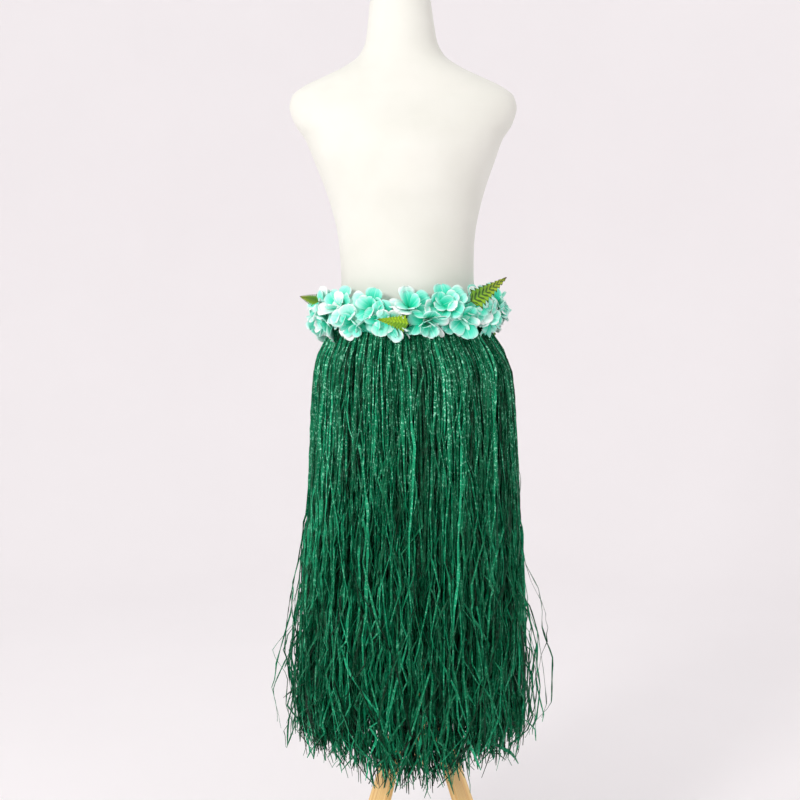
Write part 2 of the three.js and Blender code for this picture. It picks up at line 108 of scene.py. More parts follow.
CORE_RADIUS = 0.004
CORE_OFFSET = OUTER_STRIP + STRIP_WALL + SEAT + CORE_RADIUS
GARLAND_Z = 1.133
FLOWERS_PER_ROW = 13
FLOWER_OUT = 0.012
ROW_RISE = {1: 0.012, -1: 0.008}  # how far above or below the core each row of blooms sits
RIGHT_RISE = 0.05  # how much the blooms climb for each metre to the right of the middle
PAINTED_LIGHT_LEFT = 1.2  # painted light: how much paler the petals are painted for each metre to the left, where the key light falls
FLOWER_TILT = 0.38
PETAL_LENGTH = 0.040
PETAL_WIDTH = 0.035
LEAF_LENGTH = 0.056
LEAF_WIDTH = 0.024
RIBS = 10  # to a leaf's length
SILK_WALL = 0.0005
LEAF_WALL = 0.0006
SEEDS_PER_CLUSTER = 11
SEED_OUT = 0.030

# ---------- tables and curves


def on_table(table, column, z):
    """A table's column at heights z: a cubic through its rows whose slope at a row is the
    harmonic mean of the slopes beside it, or level where they change sign."""
    knots, values = np.array(table["z"]), np.array(table[column])
    steps = np.diff(knots)
    slopes = np.diff(values) / steps
    product = slopes[1:] * slopes[:-1]
    total = np.where(product > 0, slopes[1:] + slopes[:-1], 1)
    inner = np.where(product > 0, 2 * product / total, 0)
    tangents = np.concatenate([slopes[:1], inner, slopes[-1:]])
    i = np.clip(np.searchsorted(knots, z) - 1, 0, len(steps) - 1)
    t = np.clip((z - knots[i]) / steps[i], 0, 1)
    rise = t * t * (3 - 2 * t)
    bend = steps[i] * (t * (1 - t) ** 2 * tangents[i] - t * t * (1 - t) * tangents[i + 1])
    return values[i] + rise * (values[i + 1] - values[i]) + bend


def joined(*parts):
    """Coordinates broadcast together into points."""
    return np.stack(np.broadcast_arrays(*parts), axis=-1)


def circle(count):
    """Headings spread evenly all round."""
    return TURN * np.arange(count) / count


def level(headings):
    """Level unit vectors at headings."""
    return joined(np.cos(headings), np.sin(headings), 0.0)


def unit(vectors):
    """Vectors over their lengths."""
    return vectors / np.maximum(np.linalg.norm(vectors, axis=-1, keepdims=True), 1e-12)


def lean_x(z):
    """The leaning axis: a straight line through the pivot."""
    return LEAN * (LEAN_PIVOT_Z - z)


def around_form(heading, z, offset):
    """Points on the form: an ellipse of the table's half width and half depth at height z,
    both made longer by offset, its centre on the leaning axis."""
    x = lean_x(z) + (on_table(FORM, "half_width", z) + offset) * np.cos(heading)
    y = (on_table(FORM, "half_depth", z) + offset) * np.sin(heading)
    return joined(x, y, z)


def on_fall(heading, z, depth):
    """Points in the hanging raffia: the fall's ellipse at height z, drawn in by depth, a share
    from 0 outside to 1 inside, of the room there."""
    offset = -depth * on_table(FALL, "room", z)
    x = on_table(FALL, "centre", z) + (on_table(FALL, "half_width", z) + offset) * np.cos(heading)
    y = (on_table(FALL, "half_depth", z) + offset) * np.sin(heading)
    return joined(x, y, z)


def even_headings(shares, half_width, half_depth):
    """Headings at the given shares of an ellipse's length, counted from the front (-Y)."""
    fine = np.linspace(0, TURN, 1441) - math.pi / 2
    middle = (fine[1:] + fine[:-1]) / 2
    speed = np.hypot(half_width * np.sin(middle), half_depth * np.cos(middle))
    length = np.concatenate([[0], np.cumsum(speed)])
    return np.interp(np.mod(shares, 1) * length[-1], length, fine)


# ---------- meshes


def grid_faces(rows, columns, wrap_rows=False, wrap_columns=False):
    """Quads of a grid of points numbered row by row; a wrapped side joins its end to its start."""
    r = np.arange(rows if wrap_rows else rows - 1)
    c = np.arange(columns if wrap_columns else columns - 1)
    r, c = (a.ravel() for a in np.meshgrid(r, c, indexing="ij"))
    down, right = (r + 1) % rows, (c + 1) % columns
    return np.stack([r * columns + c, r * columns + right, down * columns + right, down * columns + c], 1)


def tube_faces(rows, columns):
    """The sides of a tube of `rows` rings, and the two polygons that close it."""
    ring = np.arange(columns)
    ends = np.stack([ring[::-1], (rows - 1) * columns + ring])
    return [grid_faces(rows, columns, wrap_columns=True), ends]


def repeated(faces, count, points_each):
    """The faces of one shape numbered on for `count` shapes, one after another."""
    return (faces[None] + points_each * np.arange(count)[:, None, None]).reshape(-1, faces.shape[1])


def signed_volume(points, faces):
    """Six times the volume inside fans of the faces, below zero if they point inwards."""
    first = points[faces[:, 0]]
    volume = 0
    for k in range(1, faces.shape[1] - 1):
        volume += np.einsum("ij,ij->", first, np.cross(points[faces[:, k]], points[faces[:, k + 1]]))
    return volume


def linked(name, data):
    """A new object in the scene."""
    made = bpy.data.objects.new(name, data)
    bpy.context.scene.collection.objects.link(made)
    return made


def make_piece(name, points, face_sets, material, uv=None, tint=None, smooth=True, closed=True):
    """An object from points and sets of faces, each set an array of (faces, corners).
    Closed shapes are turned so that they face outwards."""
    points = np.asarray(points, float).reshape(-1, 3)
    if closed and sum(signed_volume(points, faces) for faces in face_sets) < 0:
        face_sets = [faces[:, ::-1] for faces in face_sets]
    corners = np.concatenate([faces.ravel() for faces in face_sets]).astype(np.int32)
    sizes = np.concatenate([np.full(len(faces), faces.shape[1]) for faces in face_sets])
    mesh = bpy.data.meshes.new(name)
    mesh.vertices.add(len(points))
    mesh.vertices.foreach_set("co", points.astype(np.float32).ravel())
    mesh.loops.add(len(corners))
    mesh.loops.foreach_set("vertex_index", corners)
    mesh.polygons.add(len(sizes))
    mesh.polygons.foreach_set("loop_start", (np.cumsum(sizes) - sizes).astype(np.int32))
    mesh.polygons.foreach_set("use_smooth", np.full(len(sizes), smooth))
    mesh.update(calc_edges=True)
    if uv is not None:
        layer = mesh.uv_layers.new(name="UVMap")
        layer.data.foreach_set("uv", np.asarray(uv, np.float32).reshape(-1, 2)[corners].ravel())
    if tint is not None:
        values = mesh.attributes.new("tint", "FLOAT", "POINT").data
        values.foreach_set("value", np.asarray(tint, np.float32).ravel())
    mesh.materials.append(material)
    return linked(name, mesh)


def thicken(piece, wall):
    """Give a sheet its thickness, half on each side."""
    solid = piece.modifiers.new("wall", "SOLIDIFY")
    solid.thickness = wall
    solid.offset = 0
    return piece


def place(piece, slot, *nodes):
    """Fix a piece to the body and hide the solids it stands for; slot is not used."""
    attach(piece, "root")
    if nodes:
        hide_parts(*nodes)
    return piece


def tube(path, radius, sides):
    """Rings of `sides` points about a path: each ring lies square to the path, and starts on
    the side that faces up."""
    along = unit(np.gradient(path, axis=0))
    side = unit(np.cross(along, UP + 0.01))
    rise = np.cross(side, along)
    angle = circle(sides)[:, None]
    radius = np.broadcast_to(radius, (len(path),))[:, None, None]
    ring = side[:, None] * np.cos(angle) + rise[:, None] * np.sin(angle)
    return path[:, None] + radius * ring


# ---------- materials


class Finish:
    """A material under construction: a Principled shader and short ways to add nodes to it."""

    def __init__(self, name, roughness, **sockets):
        self.material = bpy.data.materials.new(name)
        self.material.use_nodes = True
        self.tree = self.material.node_tree
        self.shader = self.tree.nodes["Principled BSDF"]
        self.shader.inputs["Roughness"].default_value = roughness
        for socket, value in sockets.items():
            self.shader.inputs[socket.replace("_", " ")].default_value = value

    def node(self, kind, links=(), **settings):
        """A node with its settings, and its sockets linked or set to values."""
        made = self.tree.nodes.new(kind)
        for key, value in settings.items():
            setattr(made, key, value)
        for socket, source in dict(links).items():
            if isinstance(source, bpy.types.NodeSocket):
                self.tree.links.new(source, made.inputs[socket])
            else:
                made.inputs[socket].default_value = source
        return made

    def coordinates(self, kind, scale=(1, 1, 1)):
        """The named coordinates, each times its scale."""
        source = self.node("ShaderNodeTexCoord").outputs[kind]
        return self.node("ShaderNodeMapping", {"Vector": source, "Scale": scale}).outputs["Vector"]

    def noise(self, vector, scale, detail=2.0, roughness=0.5):
        links = {"Vector": vector, "Scale": scale, "Detail": detail, "Roughness": roughness}
        return self.node("ShaderNodeTexNoise", links).outputs["Fac"]

    def attribute(self, name):
        return self.node("ShaderNodeAttribute", attribute_name=name).outputs["Fac"]

    def math(self, operation, a, b=0.0):
        return self.node("ShaderNodeMath", {0: a, 1: b}, operation=operation).outputs[0]

    def times(self, a, b):
        return self.math("MULTIPLY", a, b)

    def plus(self, a, b):
        return self.math("ADD", a, b)

    def span(self, value, low, high, to_low=0.0, to_high=1.0):
        """value between low and high becomes to_low to to_high, and stays there beyond them."""
        links = {"Value": value, "From Min": low, "From Max": high, "To Min": to_low, "To Max": to_high}
        return self.node("ShaderNodeMapRange", links).outputs["Result"]

    def ramp(self, value, stops):
        """Colours that run from stop to stop, each stop a position and a colour."""
        made = self.node("ShaderNodeValToRGB", {"Fac": value})
        elements = made.color_ramp.elements
        while len(elements) < len(stops):
            elements.new(0.5)
        for element, (position, colour) in zip(elements, stops):
            element.position = position
            element.color = (*colour, 1)
        return made.outputs["Color"]

    def blend(self, share, a, b):
        """Colour a, or b where share is 1."""
        a, b = ((*c, 1) if isinstance(c, tuple) else c for c in (a, b))
        return self.node("ShaderNodeMix", {0: share, 6: a, 7: b}, data_type="RGBA").outputs[2]

    def colour(self, source):
        self.tree.links.new(source, self.shader.inputs["Base Color"])

    def rough(self, source):
        self.tree.links.new(source, self.shader.inputs["Roughness"])

    def bump(self, height, distance, strength):
        links = {"Height": height, "Distance": distance, "Strength": strength}
        made = self.node("ShaderNodeBump", links)
        self.tree.links.new(made.outputs["Normal"], self.shader.inputs["Normal"])


def split_uv(finish):
    """u and v."""
    parts = finish.node("ShaderNodeSeparateXYZ", {"Vector": finish.coordinates("UV")})
    return parts.outputs["X"], parts.outputs["Y"]


def jersey_finish():
    """Ivory jersey stretched over the form: fine knit columns and a faint mottling."""
    finish = Finish("ivory_jersey", 0.78, Sheen_Weight=0.15, Sheen_Roughness=0.5)
    at = finish.coordinates("Object")
    mottle = finish.noise(at, 9, 4)
    finish.colour(finish.ramp(mottle, [(0.3, (0.735, 0.735, 0.67)), (0.7, (0.79, 0.79, 0.73))]))
    columns = finish.node("ShaderNodeTexWave", {"Vector": at, "Scale": 190, "Distortion": 1.2})
    grain = finish.noise(at, 900, 2)
    finish.bump(finish.plus(columns.outputs["Fac"], grain), 0.00012, 0.5)
    return finish.material


def wood_finish(name, kind, along):
    """Light pine: long rings stretched along the wood, fine pores, thin satin varnish. The grain
    lies in the named coordinates, of which `along` shrinks the one that runs with the wood."""
    finish = Finish(name, 0.42, Coat_Weight=0.25, Coat_Roughness=0.25)
    at = finish.coordinates(kind, along)
    warp = finish.noise(at, 22, 3)
    rings = finish.node("ShaderNodeTexWave", {"Vector": at, "Scale": 30, "Distortion": 9, "Detail": 2})
    grain = finish.times(finish.plus(rings.outputs["Fac"], warp), 0.5)
    stops = [(0.10, (0.74, 0.42, 0.13)), (0.5, (0.84, 0.55, 0.21)), (0.9, (0.93, 0.68, 0.30))]
    finish.colour(finish.ramp(grain, stops))
    pores = finish.noise(at, 900, 2)
    finish.bump(finish.plus(pores, finish.times(grain, 0.6)), 0.0003, 0.5)
    return finish.material


def raffia_finish(name, dark, middle, light, painted_glint_most):
    """Film raffia: each strand its own green from its tint, streaked and crinkled along its length
    (UV in metres, u across and v along). The tint also carries painted shade on deeper strands, and
    the streaks and crinkles in the colour are painted light and shade. The brighter strands carry
    painted glints, pale flecks in the base colour where a crinkle would shine, more of them in the
    tightly twisted upper part than below."""
    finish = Finish(name, 0.36, Specular_IOR_Level=0.14)
    tint = finish.attribute("tint")
    across, along = split_uv(finish)
    own = finish.times(tint, 50.0)
    spot = finish.node("ShaderNodeCombineXYZ", {"X": across, "Y": along, "Z": own}).outputs[0]
    crinkle = finish.noise(spot, 230, 2, 0.6)
    painted_streak = finish.noise(spot, 55, 2)
    # painted light and shade: the streaks are light running along each strand, and the crinkle share is the
    # crinkles' shading, both painted into the base colour
    shade = finish.plus(finish.times(tint, 0.50), finish.times(painted_streak, 0.30))
    shade = finish.plus(shade, finish.times(crinkle, 0.20))
    body = finish.ramp(shade, [(0.28, dark), (0.50, middle), (0.78, light)])
    # painted glints: pale flecks mixed into the base colour where the crinkle noise is high, on the
    # brighter strands, fading below the upper part
    twisted = finish.span(along, 0.14, 0.40, 1.0, 0.30)
    painted_glint_share = finish.times(twisted, finish.span(tint, 0.30, 0.70, 0.12, painted_glint_most))
    painted_glint = finish.times(finish.span(crinkle, 0.56, 0.65), painted_glint_share)
    finish.colour(finish.blend(painted_glint, body, (0.34, 0.86, 0.60)))
    finish.rough(finish.span(crinkle, 0.3, 0.7, 0.5, 0.28))
    finish.bump(crinkle, 0.0016, 0.9)
    return finish.material


# How far a petal's tint shifts its colour towards white.
WHITENING = [(0, (0, 0, 0)), (0.5, (0.12, 0.12, 0.12)), (0.8, (0.42, 0.42, 0.42)), (1, (0.85, 0.85, 0.85))]


def petal_finish():
    """Silk petals: teal heart running out to mint and a paler rim, with a pale crease; u runs
    across from -1 to 1, v from heart to tip, and tint makes some petals whiter, at random and, as
    painted light, more on the left of the belt."""
    finish = Finish("silk_petal", 0.6, Sheen_Weight=0.12, Sheen_Roughness=0.4, Specular_IOR_Level=0.3)
    across, along = split_uv(finish)
    tint = finish.attribute("tint")
    slow = finish.times(along, 0.15)
    spot = finish.node("ShaderNodeCombineXYZ", {"X": across, "Y": slow, "Z": tint}).outputs[0]
    veins = finish.noise(spot, 7, 3)
    reach = finish.plus(along, finish.times(finish.math("SUBTRACT", veins, 0.5), 0.45))
    reach = finish.plus(reach, finish.ramp(tint, WHITENING))
    stops = [
        (0.08, (0.0, 0.48, 0.26)),
        (0.22, (0.004, 0.65, 0.40)),
        (0.38, (0.085, 0.77, 0.55)),
        (0.54, (0.36, 0.91, 0.76)),
        (0.78, (0.93, 1.0, 0.98)),
    ]
    edge = finish.math("ABSOLUTE", across)
    reach = finish.plus(reach, finish.span(edge, 0.45, 1.0, 0, 0.38))
    base = finish.ramp(finish.times(reach, 0.5), stops)
    crease = finish.times(finish.span(edge, 0.07, 0.02), finish.span(along, 0.2, 0.5, 0, 0.25))
    finish.colour(finish.blend(crease, base, (0.80, 1.0, 0.94)))
    weave = finish.noise(finish.coordinates("Object"), 1500, 1)
    finish.bump(finish.plus(veins, finish.times(weave, 0.3)), 0.0006, 0.6)
    return finish.material


def leaf_finish(name, upper, lower, tip, ribs):
    """Pressed cloth leaves: one half lighter than the other, painted shade in the pleats between ribs
    (as strong as `ribs` says), and brown at the very tip."""
    finish = Finish(name, 0.5, Coat_Weight=0.1, Coat_Roughness=0.3)
    across, along = split_uv(finish)
    speckle = finish.noise(finish.coordinates("Object"), 260, 3)
    body = finish.blend(finish.span(across, -0.06, 0.06), lower, upper)
    body = finish.blend(finish.span(along, 0.35, 0.95), body, tip)
    # painted shade: the colour is darkened along the leaf's pleats, following the same waves that fold it
    pleat = finish.math("SUBTRACT", finish.times(along, RIBS), finish.math("ABSOLUTE", across))
    pleat = finish.math("SINE", finish.times(pleat, TURN))
    body = finish.blend(finish.span(pleat, -0.2, 0.9, 0, ribs), body, (0.006, 0.05, 0.002))
    body = finish.blend(finish.span(along, 0.93, 0.98), body, (0.10, 0.035, 0.02))
    finish.colour(finish.blend(finish.span(speckle, 0.3, 0.75, 0.0, 0.25), body, (0.02, 0.09, 0.0)))
    finish.bump(speckle, 0.0004, 0.5)
    return finish.material


def webbing_finish():
    """Green elastic webbing with upright ribs, painted shade darkening the hollows between them."""
    finish = Finish("elastic_webbing", 0.7, Sheen_Weight=0.2)
    across, along = split_uv(finish)
    ribs = finish.math("SINE", finish.times(across, TURN / 0.0016))
    rows = finish.math("SINE", finish.times(along, TURN / 0.0030))
    # painted shade: the colour runs dark in the hollows between ribs to light on their crests
    stops = [(0, (0.006, 0.05, 0.03)), (1, (0.02, 0.15, 0.09))]
    finish.colour(finish.ramp(finish.span(ribs, -1, 1), stops))
    finish.bump(finish.plus(ribs, finish.times(rows, 0.4)), 0.0003, 0.7)
    return finish.material


def cord_finish():
    """Twisted green cord, fibrous."""
    finish = Finish("twisted_cord", 0.75, Sheen_Weight=0.3)
    fibre = finish.noise(finish.coordinates("Object"), 700, 3)
    finish.colour(finish.ramp(fibre, [(0.3, (0.01, 0.10, 0.07)), (0.7, (0.04, 0.22, 0.15))]))
    finish.bump(fibre, 0.0003, 0.6)
    return finish.material


def seed_finish():
    """Waxy white seed heads."""
    finish = Finish("white_seed", 0.4)
    wax = finish.noise(finish.coordinates("Object"), 500, 2)
    finish.colour(finish.ramp(wax, [(0.3, (0.75, 0.80, 0.74)), (0.7, (0.93, 0.95, 0.90))]))
    finish.bump(wax, 0.0002, 0.4)
    return finish.material


JERSEY = jersey_finish()
WOOD = wood_finish("varnished_pine", "Object", (1, 1, 0.07))
BOARD_WOOD = wood_finish("pine_board", "UV", (1, 0.05, 1))
RAFFIA_OUTER = raffia_finish(
    "raffia_emerald", (0.0, 0.014, 0.004), (0.0, 0.140, 0.057), (0.014, 0.42, 0.200), 1.0
)
# painted shade: the inner strands are the same raffia in a much darker copy, standing in for the shade deep
# inside the skirt
RAFFIA_SHADED_UNDER = raffia_finish(
    "raffia_shaded_under", (0.0, 0.006, 0.002), (0.0, 0.026, 0.010), (0.0, 0.07, 0.030), 0.12
)
PETAL = petal_finish()
FERN = leaf_finish("fern_leaf", (0.27, 0.52, 0.01), (0.15, 0.38, 0.006), (0.46, 0.50, 0.02), 0.92)
YOUNG_FERN = leaf_finish(
    "young_fern_leaf", (0.40, 0.68, 0.004), (0.20, 0.46, 0.0), (0.34, 0.55, 0.004), 0.38
)
WEBBING = webbing_finish()
CORD = cord_finish()
SEED = seed_finish()

# ---------- form and stand


def dress_form():
    """The torso and neck: ellipses from the form's table at 260 heights, 128 points round; the
    underside closes in rings towards its middle, and so does the neck's top."""
    z = np.linspace(FORM["z"][0], FORM["z"][-1], 260)
    skin = around_form(circle(128), z[:, None], 0.0)

    def lid(ring, shares):
        middle = ring.mean(axis=0)
        return middle + shares[:, None, None] * (ring - middle)

    shares = np.array([0.02, 0.35, 0.7, 0.93])
    points = np.concatenate([lid(skin[0], shares), skin, lid(skin[-1], shares[::-1])])
    return make_piece("dress_form", points, tube_faces(*points.shape[:2]), JERSEY)


def turned_wood(name, table):
    """A turned piece on the leaning axis: its radius follows a short profile of (z, radius)."""
    z, radius = np.array(table).T[:, :, None]
    x = lean_x(z) + radius * np.cos(circle(64))
    y = radius * np.sin(circle(64))
    return make_piece(name, joined(x, y, z), tube_faces(*x.shape), WOOD)


def neck_cap():
    """A flat disc with a rounded upper edge and a shallow dome."""
    low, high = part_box("form_neck_cap")
    radius = (high.y - low.y) / 2
    height = high.z - low.z
    angle = np.linspace(0, math.pi / 2, 9)
    edge = 0.35 * height
    dome = 0.2 * height
    profile = [(low.z, 0.02 * radius), (low.z, 0.9 * radius), (low.z, radius - 0.001)]
    profile += [(low.z + 0.001, radius)]
    for a in angle:
        profile.append((high.z - dome - edge * (1 - math.sin(a)), radius - edge * (1 - math.cos(a))))
    profile += [(high.z - dome * s * s, s * (radius - edge)) for s in (0.8, 0.5, 0.25, 0.02)]
    return turned_wood("neck_cap", profile)


def pole():
    """A round pole, its lower end eased."""
    low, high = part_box("stand_post")
    radius = (high.y - low.y) / 2
    ease = 0.002
    profile = [(low.z, 0.02 * radius), (low.z, radius - ease), (low.z + 0.0006, radius - 0.0006)]
    profile += [(z, radius) for z in np.linspace(low.z + ease, high.z, 30)]
    profile += [(high.z, 0.02 * radius)]
    return turned_wood("pole", profile)


def board(name, heading):
    """A splayed leg: a rounded oblong section carried straight up and inward from the foot. Each
    ring is cut level at the foot and upright against the pole at the top, and between them the
    rings turn evenly from one cut to the other."""
    slope = math.atan(LEG_SPLAY)
    half = LEG_THICKNESS / 2 / math.cos(slope)
    corner = np.linspace(0, math.pi / 2, 6)
    quarter = np.stack([np.cos(corner), np.sin(corner)], axis=-1)
    centre = np.array([half - LEG_ROUND, LEG_WIDTH / 2 - LEG_ROUND])
    ring = []
    for sign in np.array([[1, 1], [-1, 1], [-1, -1], [1, -1]]):
        rounding = quarter if sign[0] * sign[1] > 0 else quarter[::-1]
        ring.append(sign * (centre + LEG_ROUND * rounding))
    thick, wide = np.concatenate(ring).T
    rise = np.linspace(0, 1, 60)[:, None]
    foot = LEG_FOOT_RADIUS + thick
    radius = foot + (LEG_TOP_RADIUS - foot) * rise
    z = (foot - radius) / LEG_SPLAY
    x = lean_x(z) + radius * math.cos(heading) - wide * math.sin(heading)
    y = radius * math.sin(heading) + wide * math.cos(heading)
    around = np.cumsum(np.hypot(np.diff(thick, prepend=thick[:1]), np.diff(wide, prepend=wide[:1])))
    uv = joined(around + heading, z / math.cos(slope))
    return make_piece(name, joined(x, y, z), tube_faces(*x.shape), BOARD_WOOD, uv=uv)


dress_form_piece = place(dress_form(), "form_cloth", "form_torso")
place(neck_cap(), "wood", "form_neck_cap")
place(pole(), "wood", "stand_post")
for n in range(LEG_COUNT):
    place(board(f"board_{n + 1}", TURN * (n + 0.5) / LEG_COUNT), "wood", f"stand_leg_{n + 1}")

# ---------- waistband and raffia


def ribbon_hoop(name, inner, wall, bottom, top, material, relief=0.0, knots=0):
    """A closed band round the form: an oblong section carried round; relief lifts its
    outside in `knots` even swells."""
    around = 360
    side = np.linspace(0, 1, 8)
    section = [(0.0, s) for s in side] + [(1.0, s) for s in side[::-1]]
    out_share, up_share = np.array(section).T
    heading = circle(around)
    z = bottom + (top - bottom) * up_share
    swell = relief * np.abs(np.sin(knots * heading / 2))[:, None] * np.sin(math.pi * up_share)
    offset = inner + out_share * (wall + swell)
    points = around_form(heading[:, None], z[None, :], offset)
    uv = joined(BAND_RADIUS * heading[:, None], z[None, :])
    faces = [grid_faces(around, len(section), wrap_rows=True, wrap_columns=True)]
    return make_piece(name, points, faces, material, uv=uv)


def kinked(rng, strength, chance, drop, pull):
    """Places of strands that run straight until a kink: at each station a strand takes, with the
    given chance, a new slope as strong as `strength`, a table of (strands, stations), says, aimed
    back towards its line by `pull` times how far it has strayed, and else keeps its last slope."""
    places = np.zeros_like(strength)
    slope = np.zeros(len(strength))
    for k in range(1, strength.shape[1]):
        fresh = rng.random(len(strength)) < chance
        aimed = strength[:, k] * rng.standard_normal(len(strength)) - pull * places[:, k - 1]
        slope = np.where(fresh, aimed, slope)
        places[:, k] = places[:, k - 1] + slope * drop[:, k]
    return places


# How strongly strands kink, at shares of their length from the root.
KINK_AT = [0, 0.06, 0.15, 0.4, 0.6, 0.85, 0.93, 1]
KINK_STRENGTH = [0.02, 0.07, 0.10, 0.13, 0.15, 0.19, 0.30, 0.42]


def inside_fall(paths, room_side, room_front):
    """Paths drawn in to where they may be: no further out than the fall's ellipse made longer by
    the given rooms, at each point's own height."""
    x = paths[..., 0] - on_table(FALL, "centre", paths[..., 2])
    wide = on_table(FALL, "half_width", paths[..., 2]) + room_side
    deep = on_table(FALL, "half_depth", paths[..., 2]) + room_front
    reach = np.maximum(np.hypot(x / wide, paths[..., 1] / deep), 1)
    drawn = paths.copy()
    drawn[..., 0] += x / reach - x
    drawn[..., 1] /= reach
    return drawn


def strand_paths(rng, headings, depth, end_z, stations, lively):
    """Centre lines of strands. Heights run evenly from the root to each strand's end; the sideways
    and outward places are kinked lines, livelier towards the hem and at the sides. Neighbours lie
    together in cords above and share slow waves below."""
    count = len(headings)
    t = np.linspace(0, 1, stations)
    z = ROOT_Z + (end_z[:, None] - ROOT_Z) * t
    drop = np.diff(-z, axis=1, prepend=-z[:, :1])
    strength = lively * np.interp(t, KINK_AT, KINK_STRENGTH)
    strength = strength * (1 + np.interp(t, [0.4, 0.9], [0, 0.7]) * np.cos(headings[:, None]) ** 2)
    side = kinked(rng, strength, KINK_CHANCE, drop, SIDE_PULL)
    out = kinked(rng, 0.6 * strength, KINK_CHANCE, drop, OUT_PULL)
    h = headings[:, None]
    cords = 172 * h + 2.4 * np.sin(13 * h + 3 * t) + 1.8 * np.sin(37 * h - 5 * t)
    twisted = np.interp(t, [0, 0.08, 0.5, 0.75], [0.2, 1, 0.8, 0])
    wave = 0.008 * t**1.3 * np.sin(9 * h + 5.0 * t + 2 * np.sin(3 * h))
    wave += 0.005 * t * np.sin(31 * h + 7.0 * t) - 0.0009 * twisted * np.sin(cords)
    base = on_fall(h, z, depth[:, None])
    outward = level(headings)[:, None]
    along = np.cross(UP, outward)
    inward, outer = np.where(z > 0.93, 0.0015, 0.014), np.where(z > 0.75, 0.004, 0.008)
    out = np.clip(out, -inward, outer) + 0.0016 * twisted * np.cos(cords)
    return base + (side + wave)[..., None] * along + out[..., None] * outward


def strands(name, rng, paths, width, tints, material):
    """Strands of film raffia: a flat three-sided section carried along each path, turning as it
    goes, so that it shows now its flat and now its edge."""
    count, stations = paths.shape[:2]
    along = unit(np.gradient(paths, axis=1))
    outward = unit(paths * [1, 1, 0])
    side = unit(np.cross(along, outward))
    outward = np.cross(side, along)
    turn = rng.normal(0, 0.5, (count, 1)) + rng.normal(0, 2.2, (count, 1)) * np.linspace(0, 1, stations)
    turn = turn + np.cumsum(rng.normal(0, 0.30, (count, stations)), axis=1)
    flat = np.cos(turn)[..., None] * side + np.sin(turn)[..., None] * outward
    face = np.cos(turn)[..., None] * outward - np.sin(turn)[..., None] * side
    swell = 1 + 0.28 * rng.standard_normal((count, stations))
    wide = width[:, None] * np.clip(swell, 0.45, 1.5)
    wide[:, 0] *= 0.5
    wide[:, -1] *= 0.35
    wide, thick = wide[..., None] / 2, FILM_THICKNESS * width[:, None, None]
    corners = [wide * flat - thick / 3 * face, 2 * thick / 3 * face, -wide * flat - thick / 3 * face]
    points = paths[:, :, None] + np.stack(corners, axis=2)
    length = np.cumsum(np.linalg.norm(np.diff(paths, axis=1, prepend=paths[:, :1]), axis=-1), axis=1)
    uv = joined(FILM_WIDTH * np.array([0.0, 0.5, 1.0]), length[:, :, None])
    tint = np.broadcast_to(tints[:, None, None], (count, stations, 3))
    faces = [repeated(part, count, stations * 3) for part in tube_faces(stations, 3)]
    return make_piece(name, points, faces, material, uv=uv, tint=tint, smooth=False)


# The hem's height from the left side (-1), past the front and the back (0), to the right side (1).
HEM = {
    "towards_side": [-1, -0.7, -0.45, -0.15, 0, 0.2, 0.45, 0.7, 1],
    "z": [0.362, 0.363, 0.340, 0.327, 0.324, 0.327, 0.338, 0.356, 0.362],
}


def hem_heights(rng, headings):
    """Where strands end: the hem hangs lowest in front and behind; some strands are trimmed or
    broken higher, a few are longer."""
    count = len(headings)
    end = np.interp(np.cos(headings), HEM["towards_side"], HEM["z"])
    end += 0.015 * rng.standard_normal(count)
    end += np.where(rng.random(count) < 0.26, 0.09 * rng.random(count), 0)
    end -= np.where(rng.random(count) < 0.09, 0.034 * rng.random(count), 0)
    return np.maximum(end, SHORTEST_END_Z)


def raffia_sector(name, seed, count, first, last, depth_range, stations, material, tint_range):
    """Strands whose roots lie between two shares of the waist's length."""
    rng = np.random.default_rng(seed)
    shares = first + (last - first) * (np.arange(count) + rng.random(count)) / count
    headings = even_headings(shares, *ROOT_ELLIPSE)
    depth = rng.uniform(*depth_range, count)
    end_z = hem_heights(rng, headings)
    lively = np.minimum(rng.gamma(3, 0.33, (count, 1)), 1.9)
    paths = strand_paths(rng, headings, depth, end_z, stations, lively)
    width = rng.uniform(*STRAND_WIDTH, count)
    # painted shade: strands that lie deeper in the fall get a darker tint, standing in for the shade among
    # the strands
    painted_depth_light = np.exp((depth_range[0] - depth) / PAINTED_SHADE_DEPTH)
    tints = tint_range[0] + (tint_range[1] - tint_range[0]) * (0.55 * painted_depth_light + 0.45 * rng.random(count))
    paths = inside_fall(paths, *FALL_ROOM)
    return strands(name, rng, paths, width, tints, material)


# Strands that stand away from the fall: heading in degrees, the heights where the path turns,
# and how far it reaches beyond the fall there.
STRAYS = [
    dict(heading=181, z=[0.62, 0.537, 0.483, 0.449, 0.375], beyond=[0.004, 0.026, 0.040, 0.058, 0.040]),
    dict(heading=186, z=[0.60, 0.52, 0.47, 0.41, 0.36], beyond=[0.006, 0.034, 0.030, 0.050, 0.036]),
    dict(heading=172, z=[0.64, 0.55, 0.50, 0.44, 0.38], beyond=[0.002, 0.016, 0.037, 0.030, 0.046]),
    dict(heading=-2, z=[0.72, 0.674, 0.593, 0.556, 0.487, 0.409, 0.336],
         beyond=[0, 0.005, 0.033, 0.030, 0.048, 0.057, 0.018]),
    dict(heading=4, z=[0.66, 0.58, 0.52, 0.45, 0.40], beyond=[0.006, 0.030, 0.040, 0.036, 0.047]),
    dict(heading=-9, z=[0.60, 0.53, 0.46, 0.38], beyond=[0.004, 0.018, 0.031, 0.022]),
    dict(heading=-94, z=[0.60, 0.50, 0.42, 0.35], beyond=[0.002, 0.020, 0.030, 0.020]),
    dict(heading=88, z=[0.62, 0.50, 0.42, 0.35], beyond=[0.004, 0.024, 0.032, 0.020]),
    dict(heading=124, z=[0.60, 0.47, 0.40, 0.34], beyond=[0.006, 0.016, 0.024, 0.018]),
]


